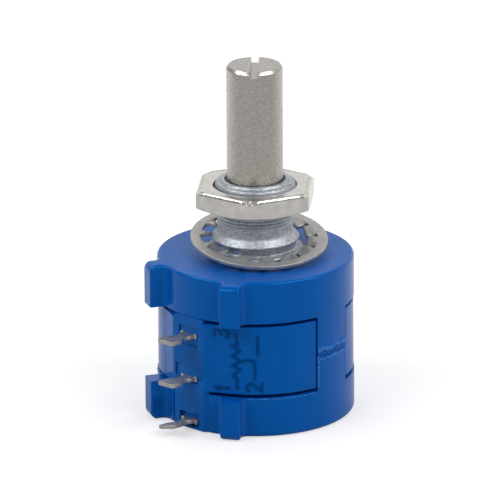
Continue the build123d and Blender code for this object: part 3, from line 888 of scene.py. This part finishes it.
def flash(side, angle, start, end, seed):
    """Thin ragged ridge of moulding flash along an edge of a tongue."""
    shape = Shape()
    rows = []
    for height in spread(start, end, 70):
        ragged = ripple_at(height * FLASH_WAVES[0], seed, 1.0)
        middle = angle + flash_wander * ripple_at(height * FLASH_WAVES[1], seed, 4.0)
        half = FLASH_HALF[0] + FLASH_HALF[1] * ragged
        top_r = body_r + FLASH_RIDGE[0] + FLASH_RIDGE[1] * ragged
        section = ((flash_root_r, -half), (top_r, -half / 2), (top_r, half / 2), (flash_root_r, half))
        rows.append(shape.row([from_lugs(radius, side * (middle + off), height) for radius, off in section]))
    shape.skin(rows)
    return shape


def rim_flash(start, end, seed):
    """Thin ragged ridge of moulding flash along the rear cover's upper edge, between two angles."""
    shape = Shape()
    rows = []
    for angle in spread(start, end, 200):
        ragged = ripple_at(angle * RIM_FLASH_WAVE, seed, 2.0)
        top_r = body_r + RIM_RIDGE[0] + RIM_RIDGE[1] * ragged
        low = window_bottom - rim_flash_height - 0.06 * ragged
        section = ((flash_root_r, low), (top_r, low + 0.07), (top_r, window_bottom - 0.06),
                   (flash_root_r, window_bottom - 0.01))
        rows.append(shape.row([from_lugs(radius, angle, height) for radius, height in section]))
    shape.skin(rows)
    return shape


for side, label in ((-1, "left"), (1, "right")):
    start, end = sorted((side * rim_flash_start, side * (tongue_from - 1.0)))
    rim_edge = rim_flash(start, end, 5.0 + side)
    blue_piece(f"rim_flash_{label}", rim_edge, material=blue_weld_and_painted_highlight)
    for name, (middle, half, bulge), finish in SEAM_BANDS:
        band = seam_band(side, 3.7 * side, middle, half, bulge)
        blue_piece(f"{name}_{label}", band, material=finish)
    near_edge = flash(side, tongue_from + 0.5, seam_z - 0.5, window_bottom + 0.5, 2.0 + side)
    blue_piece(f"flash_near_{label}", near_edge, material=blue_weld_and_painted_highlight)
    far_edge = flash(side, tongue_to - 0.5, seam_z + 0.2, window_bottom + 1.2, 7.0 + side)
    blue_piece(f"flash_far_{label}", far_edge, material=blue_weld_and_painted_highlight)


# Wiring diagram on the panel: numbers of the lugs and the sign for a variable resistor

line_width = 0.3
line_height = 0.09
line_step = 0.25  # longest straight run before a line is bent round the panel
least_mitre = 0.45
digit_height = 1.75
DIGIT_MIDDLE = (0.3, 0.5)


def ribbon(shape, path):
    """Raised line on the panel along a path of (distance round the panel, height)."""
    points = []
    for (s0, z0), (s1, z1) in zip(path, path[1:]):
        pieces = max(1, ceil(hypot(s1 - s0, z1 - z0) / line_step))
        shares = [k / pieces for k in range(pieces)]
        points += [Vector((s0 + (s1 - s0) * share, z0 + (z1 - z0) * share)) for share in shares]
    points.append(Vector(path[-1]))
    rows = []
    for k, here in enumerate(points):
        back = (here - points[k - 1]).normalized() if k else (points[1] - here).normalized()
        on = (points[k + 1] - here).normalized() if k < len(points) - 1 else back
        along = (back + on).normalized()
        across = Vector((-along.y, along.x)) * line_width / 2 / max(least_mitre, along.dot(on))
        low_r, high_r = panel_r - OVERLAP, panel_r + line_height
        section = ((here + across, low_r), (here + across, high_r), (here - across, high_r),
                   (here - across, low_r))
        rows.append(shape.row([from_lugs(r, degrees(place.x / panel_r), place.y) for place, r in section]))
    shape.skin(rows)


def arc_path(x, y, radius, start, end, count=9):
    """Points on an arc, angles in degrees."""
    return [(x + radius * cos(radians(a)), y + radius * sin(radians(a))) for a in spread(start, end, count)]


# Strokes of the digits in a cell one high, with x to the right and y up
DIGITS = {
    "1": [[(0.12, 0.72), (0.32, 1.0), (0.32, 0.0)]],
    "2": [arc_path(0.3, 0.72, 0.27, 165, -35) + [(0.04, 0.0), (0.6, 0.0)]],
    "3": [arc_path(0.28, 0.76, 0.24, 150, -80) + arc_path(0.28, 0.27, 0.27, 80, -155)],
}


def on_panel(pixel_x, pixel_y):
    """Place on the panel (distance round it, height) that the photograph shows at a pixel."""
    swing = (pixel_x - photo_width / 2 - axis_from_middle) / view_scale / panel_r
    angle = atan2(swing, sqrt(1 - swing ** 2))
    tall = view_scale * cos(radians(view_elevation))
    toward = panel_r * cos(angle) * view_scale * sin(radians(view_elevation))
    height = middle_height - (pixel_y - photo_width / 2 - toward) / tall
    return panel_r * radians(view_azimuth + degrees(angle)), height


def digit(shape, sign, pixel):
    """A digit turned to read upwards, its middle at a pixel of the photograph."""
    s, z = on_panel(*pixel)
    middle_x, middle_y = DIGIT_MIDDLE
    for stroke in DIGITS[sign]:
        ribbon(shape, [(s - (y - middle_y) * digit_height, z + (x - middle_x) * digit_height)
                       for x, y in stroke])


# Pixels of the photograph where the diagram's lines turn
resistor_line = [(235.0, 332.5), (237.0, 343.6), (231.0, 344.6), (239.4, 350.0), (232.0, 355.2),
                 (240.0, 360.2), (232.0, 364.6), (239.4, 368.6), (232.2, 374.4), (236.4, 376.8),
                 (236.9, 388.5)]
wiper_line = [(241.0, 361.0), (245.0, 359.2), (252.6, 359.8), (254.2, 362.0), (254.3, 378.6)]
turn_line = [(257.2, 335.6), (257.2, 355.0)]
digit_places = {"3": (220.5, 332.5), "1": (222.0, 386.8), "2": (253.5, 386.6)}

diagram = Shape()
for line in (resistor_line, wiper_line, turn_line):
    ribbon(diagram, [on_panel(*pixel) for pixel in line])
for sign, pixel in digit_places.items():
    digit(diagram, sign, pixel)
# The diagram's darker blue is painted shade of its relief
blue_piece("wiring_diagram", diagram, edge=0.03, segments=2, material=diagram_painted_shade)


# Solder lugs

# One side of a lug from its neck to its tip, as (half width, distance from the tip, rounding)
LUG_OUTLINE = (
    (lug_root_half, 3.35, 0.25), (lug_neck_half, 2.95, 0.5), (lug_neck_half, 2.3, 0.5),
    (lug_head_half, 1.5, 0.35), (lug_head_half, 0.0, 0.3),
)
# Barb beside a lug's root as (x, distance into the block, rounding)
BARB = ((-0.2, -0.07, 0.06), (0.2, -0.07, 0.06), (0.2, 0.75, 0.0), (-0.2, 0.75, 0.0))
barb_x = 1.0
barb_rise = 0.12


def lug(height, root_y, bend, twist):
    """Flat lug bent up and twisted a little outside the block: root, narrow neck and wide head."""
    near = [(half, out - lug_tip, rounding) for half, out, rounding in LUG_OUTLINE]
    far = [(-half, y, rounding) for half, y, rounding in reversed(near)]
    corners = [(-lug_root_half, root_y, 0.0), (lug_root_half, root_y, 0.0), *near, *far]
    shape = prism(rounded_path(corners), height - lug_thickness / 2, height + lug_thickness / 2)
    for point in shape.points:
        out = max(0.0, -point.y - block_face)
        swing = radians(twist) * min(1.0, out / lug_twist_over)
        across, above = point.x, point.z - height
        point.x = across * cos(swing) - above * sin(swing)
        point.z = height + across * sin(swing) + above * cos(swing) + out * tan(radians(bend))
    return shape


def barb(height, side):
    """Small upset corner beside the lug's root that holds it in the block."""
    path = rounded_path([(side * barb_x + x, into - block_face, rounding) for x, into, rounding in BARB])
    return prism(path, height - lug_thickness / 2 + OVERLAP, height + lug_thickness / 2 + barb_rise)


for node, height, (bend, twist), (low, high) in zip(lug_nodes, lug_heights, LUG_BENDS, lug_spans):
    blade = lug(height, high.y, bend, twist)
    make_piece(f"{node}_lug", blade, lug_metal, "housing", [node], edge=0.07)
    for side, label in ((-1, "left"), (1, "right")):
        corner = barb(height, side)
        make_piece(f"{node}_barb_{label}", corner, lug_metal, "housing", edge=0.08)


# Bushing

# Its outside up to the relief, as (radius, height, rounding): flange, neck and lip
BUSHING_FOOT = [
    (foot_r, front_z + OVERLAP, 0.0), (seat_r, front_z + OVERLAP, 0.0), (seat_r, -0.1, 0.22),
    (neck_r + 0.1, 0.0, 0.0), (neck_r, 0.1, 0.05), (neck_r, 0.93, 0.03), (lip_r, 0.95, 0.05),
    (lip_r, 1.15, 0.06), (relief_r + 0.12, 1.75, 0.4), (relief_r, 2.1, 0.3),
]
worn_depth = 0.006
lip_waviness = 0.02


def thread_ripple(azimuth, radius, height):
    """Height of the thread over its root, and the feed marks on the relief."""
    if thread_start + 0.1 < height < thread_end + 0.02 and radius > lead_r:
        turn = (height / thread_pitch - azimuth / 360) % 1.0
        crest = 1 - abs(2 * turn - 1)
        return -thread_depth * (1 - min(1.0, crest * thread_slope))
    if 1.95 < height < thread_start + 0.01 and radius < relief_r + 0.12:
        mark = (0.5 + 0.5 * cos(2 * pi * height / turning_pitch)) ** 3
        deep = groove_depth if height > groove_start else worn_depth
        return -deep * mark + worn_depth * ripple_at(azimuth * 0.08, height * 3.0, 1.0)
    if abs(radius - lip_r) < 0.02:
        return lip_waviness * ripple_at(azimuth * 0.12, 0.0, 9.0)
    return 0.0


def bushing_profile():
    """Path of (radius, height) up the outside of the bushing, over its end and down the bore."""
    profile = rounded_path(BUSHING_FOOT, closed=False, step=18)
    profile += [(relief_r, height) for height in spread(relief_start, relief_mark - 0.04, 6)]
    profile += [(relief_r + relief_mark_height, height) for height in (relief_mark, relief_mark + 0.04)]
    profile += [(relief_r, height) for height in spread(relief_mark + 0.08, thread_start, 60)]
    profile += [(thread_r, height) for height in spread(thread_start + 0.16, thread_end, 90)]
    profile += [(lead_r, thread_end + 0.05)]
    for radius, under in LEAD_STEPS:
        profile += [(radius - inwards, bushing_end - under + up) for inwards, up in STEP_RUN]
    clear_r = shaft_r + 0.02
    profile += [(mouth_r + 0.08, bushing_end), (mouth_r + 0.03, bushing_end - 0.02),
                (mouth_r, bushing_end - 0.1), (mouth_r, bushing_end - mouth_depth),
                (clear_r, bushing_end - mouth_depth - 0.02), (clear_r, bore_low), (foot_r, bore_low - 0.1)]
    return profile


bushing = revolved(bushing_profile(), segments=240, ripple=thread_ripple)
make_piece("bushing_turned", bushing, bushing_metal, "housing", ["bushing"])


# Panel nut


def hexagon(rounding=0.08, step=0.28):
    """Closed path round the nut's flats as (azimuth, radius)."""
    corner_r = nut_flat_r / cos(radians(30))
    corners = [(*polar(corner_r, nut_turn + 60 * k).to_2d(), rounding) for k in range(6)]
    path = rounded_path(corners, step=20)
    fine = []
    for here, after in zip(path, path[1:] + path[:1]):
        pieces = max(1, ceil((after - here).length / step))
        fine += [here + (after - here) * j / pieces for j in range(pieces)]
    return [(degrees(atan2(p.y, p.x)), p.length) for p in fine]


def nut():
    """Hexagon with a cone bevel on both faces and a countersunk bore."""
    shape = Shape()
    path = hexagon()
    low, high = nut_low.z, nut_high.z

    def ring(inset, drop, upper):
        """Ring round the nut: inset from the hexagon, drop from the end face, under the corners' cone."""
        start, angle = (nut_top_bevel_r, nut_top_bevel) if upper else (nut_foot_bevel_r, nut_foot_bevel)
        points = []
        for azimuth, hexagon_r in path:
            radius = hexagon_r - inset
            cone = max(0.0, (radius - start) * tan(radians(angle)))
            fall = max(drop, cone) if upper else drop + cone
            points.append(polar(radius, azimuth, high - fall if upper else low + fall))
        return shape.row(points)

    def circle(radius, height):
        return shape.row([polar(radius, azimuth, height) for azimuth, _ in path])

    sunk = nut_bore_r + nut_countersink
    rings = [circle(nut_bore_r, low + nut_countersink), circle(sunk, low)]
    rings += [circle(nut_foot_bevel_r - 0.1, low)]
    rings += [ring(inset, drop, False) for inset, drop in NUT_FOOT]
    rings += [ring(inset, drop, True) for inset, drop in reversed(NUT_EDGE)]
    rings += [circle(sunk, high), circle(nut_bore_r, high - nut_countersink)]
    shape.skin(rings, capped=False)
    return shape


make_piece("panel_nut_faced", nut(), nut_metal, "nut", ["panel_nut"], crisp=22.0)


# Lockwasher


def add_tooth(shape, azimuth):
    """One tooth from inside the ring to its tip: flared at its root, twisted and tapered."""
    turn = Matrix.Rotation(radians(azimuth), 4, "Z")
    rows = []
    for share in spread(0.0, 1.0, 10):
        radius = tooth_root_r - (tooth_root_r - washer_tip_r) * share
        flare = tooth_flare * max(0.0, 1 - share / FLARE_END) ** 2
        width = tooth_half + flare - tooth_taper * share
        thick = washer_thickness / 2 * (tooth_root_thinness if share < ROOT_END else 1.0)
        twist = radians(washer_twist) * min(1.0, max(0.0, (share - TWIST_START) / TWIST_LENGTH))
        twisting = Matrix.Rotation(twist, 2)
        section = [twisting @ corner for corner in box_path(width, thick, tooth_edge, 30)]
        rows.append(shape.row([turn @ Vector((radius, *corner)) for corner in section]))
    shape.skin(rows)


def washer():
    """Flat ring with teeth pointing inwards, leaning on the bushing."""
    half = washer_thickness / 2
    profile = rounded_path([(washer_ring_r, -half, 0.08), (washer_r, -half, 0.1),
                            (washer_r, half, 0.1), (washer_ring_r, half, 0.08)], step=25)
    shape = revolved(profile, segments=224)
    for tooth in range(washer_teeth):
        add_tooth(shape, washer_first_tooth + tooth * 360 / washer_teeth)
    tilt_axis = polar(1.0, washer_lean + 90)
    place = polar(washer_shift, washer_shift_azimuth, washer_height)
    return shape.moved(Matrix.Translation(place) @ Matrix.Rotation(radians(washer_tilt), 4, tilt_axis))


make_piece("lockwasher_toothed", washer(), washer_metal, "washer", ["lockwasher"])


# Shaft


def ground_shaft():
    """The shaft: rear journal, step into the bushing, full diameter and a rounded tip with a slot."""
    tip = shaft_high.z + tip_extra
    shoulder_z = tip - tip_chamfer_height
    rounded = rounded_path([(shaft_r, shoulder_z - tip_chamfer_height / 2, 0.0), (shaft_r, shoulder_z, 0.12),
                            (shaft_r - tip_chamfer, tip, 0.06), (shaft_r - 2 * tip_chamfer, tip, 0.0)],
                           closed=False, step=9)
    path = [*SHAFT_STEPS, (shaft_r, bushing_end - 0.7), (shaft_r, shoulder_z - 0.06)]
    path += [*rounded[1:], (axis_r, tip)]
    body = revolved(path, segments=160, closed=False)
    slot = prism(box_path(shaft_r + slot_reach, half_slot), tip - slot_depth, tip + slot_reach)
    return cut(body, slot.moved(Matrix.Rotation(radians(slot_azimuth), 4, "Z")))


shaft = ground_shaft()
make_piece("shaft_ground", shaft, shaft_metal, "rotor", ["shaft"], edge=0.045, segments=2)


# Finishes of the parts inside, which keep their shape
FINISHES = {
    brass: ("end_clip_1", "end_clip_3", "wiper_contact", "collector_brush", "slip_brush",
            "collector_rod", "slip_ring"),
    bronze: ("thrust_washer", "rear_bearing"),
    wire: ("resistance_element",),
    spring: ("retaining_ring",),
    black: ("rotor", "wiper_carriage"),
}
for finish, nodes in FINISHES.items():
    for node in nodes:
        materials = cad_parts[node].data.materials
        materials.clear()
        materials.append(finish)


# Floor, lamps, world and camera

FLOOR_COLOUR = (0.56, 0.56, 0.56)
FLOOR_HALF = 1.5  # floor and lamps are in metres
FLOOR_GAP = 0.00002
WHITE = (1.0, 1.0, 1.0, 1.0)
# Light added where the camera sees the floor, near the object and from FLOOR_FAR on
FLOOR_LIFT = (0.44, 0.68)
FLOOR_NEAR = 0.013
FLOOR_FAR = 0.045
# The same in reflections, from the floor's near side to its far side
MIRROR_LIFT = 0.55
MIRROR_FROM = -0.03
MIRROR_TO = 0.12
# Brightness of the surroundings, from the camera's side (0) to the far side (1)
WORLD_LEVELS = ((0.12, 0.2), (0.93, 1.3), (0.5, 0.42))
WORLD_TURN = 22.0  # degrees by which its bright side is turned to the right
WORLD_RISE = 0.15
# Lamps: azimuth from the camera's, elevation, distance, width, height and watts
LAMPS = {
    "key": (-58, 42, 0.40, 0.38, 0.08, 0.68),
    "fill": (52, 43, 0.40, 0.38, 0.08, 0.68),
    "back": (205, 50, 0.45, 0.20, 0.20, 0.15),
}


def direction(azimuth, elevation):
    """Unit vector from the object to a place round it; azimuth 0 is the lugs' side."""
    a = radians(azimuth)
    e = radians(elevation)
    return Vector((sin(a) * cos(e), -cos(a) * cos(e), sin(e)))


def pale_floor():
    """Pale floor that keeps the shadow and looks white to the camera and in reflections."""
    mesh = bpy.data.meshes.new("floor")
    z = rear_z * MM - FLOOR_GAP
    mesh.from_pydata([(x, y, z) for x, y in box_path(FLOOR_HALF, FLOOR_HALF)], [], [(0, 1, 2, 3)])
    material, tree, shader, place = new_material("pale_floor", FLOOR_COLOUR, 0.0, 0.9)
    shader.inputs["Specular IOR Level"].default_value = 0.1
    shader.inputs["Emission Color"].default_value = WHITE
    rays = add_node(tree, "LightPath")
    away = add_node(tree, "VectorMath", {0: place, 1: -direction(view_azimuth, 0)}, "DOT_PRODUCT")
    far = add_node(tree, "MapRange", {
        "Value": away.outputs["Value"], "From Min": MIRROR_FROM, "From Max": MIRROR_TO,
        "To Max": MIRROR_LIFT})
    glossy = rays.outputs["Is Glossy Ray"]
    mirrored = add_node(tree, "Math", {0: far.outputs["Result"], 1: glossy}, "MULTIPLY")
    distance = add_node(tree, "VectorMath", {0: place}, "LENGTH")
    lift = add_node(tree, "MapRange", {
        "Value": distance.outputs["Value"], "From Min": FLOOR_NEAR, "From Max": FLOOR_FAR,
        "To Min": FLOOR_LIFT[0], "To Max": FLOOR_LIFT[1]})
    strength = add_node(tree, "Math", {
        0: rays.outputs["Is Camera Ray"], 1: lift.outputs["Result"], 2: mirrored.outputs["Value"]},
        "MULTIPLY_ADD")
    tree.links.new(strength.outputs["Value"], shader.inputs["Emission Strength"])
    mesh.materials.append(material)
    add_object("floor", mesh)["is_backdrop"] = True


def lamp(name, azimuth, elevation, distance, width, height, power):
    """Soft rectangular lamp aimed at the body."""
    light = bpy.data.lights.new(name, "AREA")
    light.shape = "RECTANGLE"
    light.size = width
    light.size_y = height
    light.energy = power
    holder = add_object(name, light)
    back = direction(azimuth, elevation)
    holder.location = back * distance
    holder.rotation_mode = "QUATERNION"
    holder.rotation_quaternion = back.to_track_quat("Z", "Y")


def studio_world():
    """World that is white to the camera and dimmer on the camera's side for light and reflections."""
    world = bpy.data.worlds.new("studio")
    bpy.context.scene.world = world
    world.use_nodes = True
    tree = world.node_tree
    tree.nodes.clear()
    bright_axis = -direction(view_azimuth - WORLD_TURN, 0)
    bright_axis.z = WORLD_RISE
    place = add_node(tree, "TexCoord")
    away = add_node(tree, "VectorMath", {0: place.outputs["Generated"], 1: bright_axis}, "DOT_PRODUCT")
    shift = add_node(tree, "MapRange", {"Value": away.outputs["Value"], "From Min": -1.0})
    ramp = add_node(tree, "ValToRGB", {"Fac": shift.outputs["Result"]})
    stops = ramp.color_ramp.elements
    for stop, (position, level) in zip((stops[0], stops[1], stops.new(0.5)), WORLD_LEVELS):
        stop.position = position
        stop.color = (level, level, level, 1.0)
    background = add_node(tree, "Background", {"Strength": ramp.outputs["Color"]})
    white = add_node(tree, "Background", {"Color": WHITE, "Strength": 1.0})
    rays = add_node(tree, "LightPath")
    mix = add_node(tree, "MixShader", {
        0: rays.outputs["Is Camera Ray"], 1: background.outputs["Background"],
        2: white.outputs["Background"]})
    add_node(tree, "OutputWorld", {"Surface": mix.outputs["Shader"]})


def photo_camera():
    """Camera at the photograph's viewing angle and scale."""
    back = direction(view_azimuth, view_elevation)
    right = direction(view_azimuth + 90, 0)
    target = Vector((0, 0, middle_height)) - right * axis_from_middle / view_scale
    data = bpy.data.cameras.new("camera")
    data.sensor_width = 36.0
    data.lens = data.sensor_width * view_distance * view_scale / photo_width
    data.clip_end = 10.0
    camera = add_object("camera", data)
    camera.location = (target + back * view_distance) * MM
    camera.rotation_mode = "QUATERNION"
    roll = Matrix.Rotation(radians(view_roll), 4, back).to_quaternion()
    camera.rotation_quaternion = roll @ (-back).to_track_quat("-Z", "Y")
    bpy.context.scene.camera = camera


pale_floor()
for name, (swing, *place) in LAMPS.items():
    lamp(name, view_azimuth + swing, *place)
studio_world()
photo_camera()
bpy.context.scene.view_settings.view_transform = "Standard"

low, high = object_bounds()
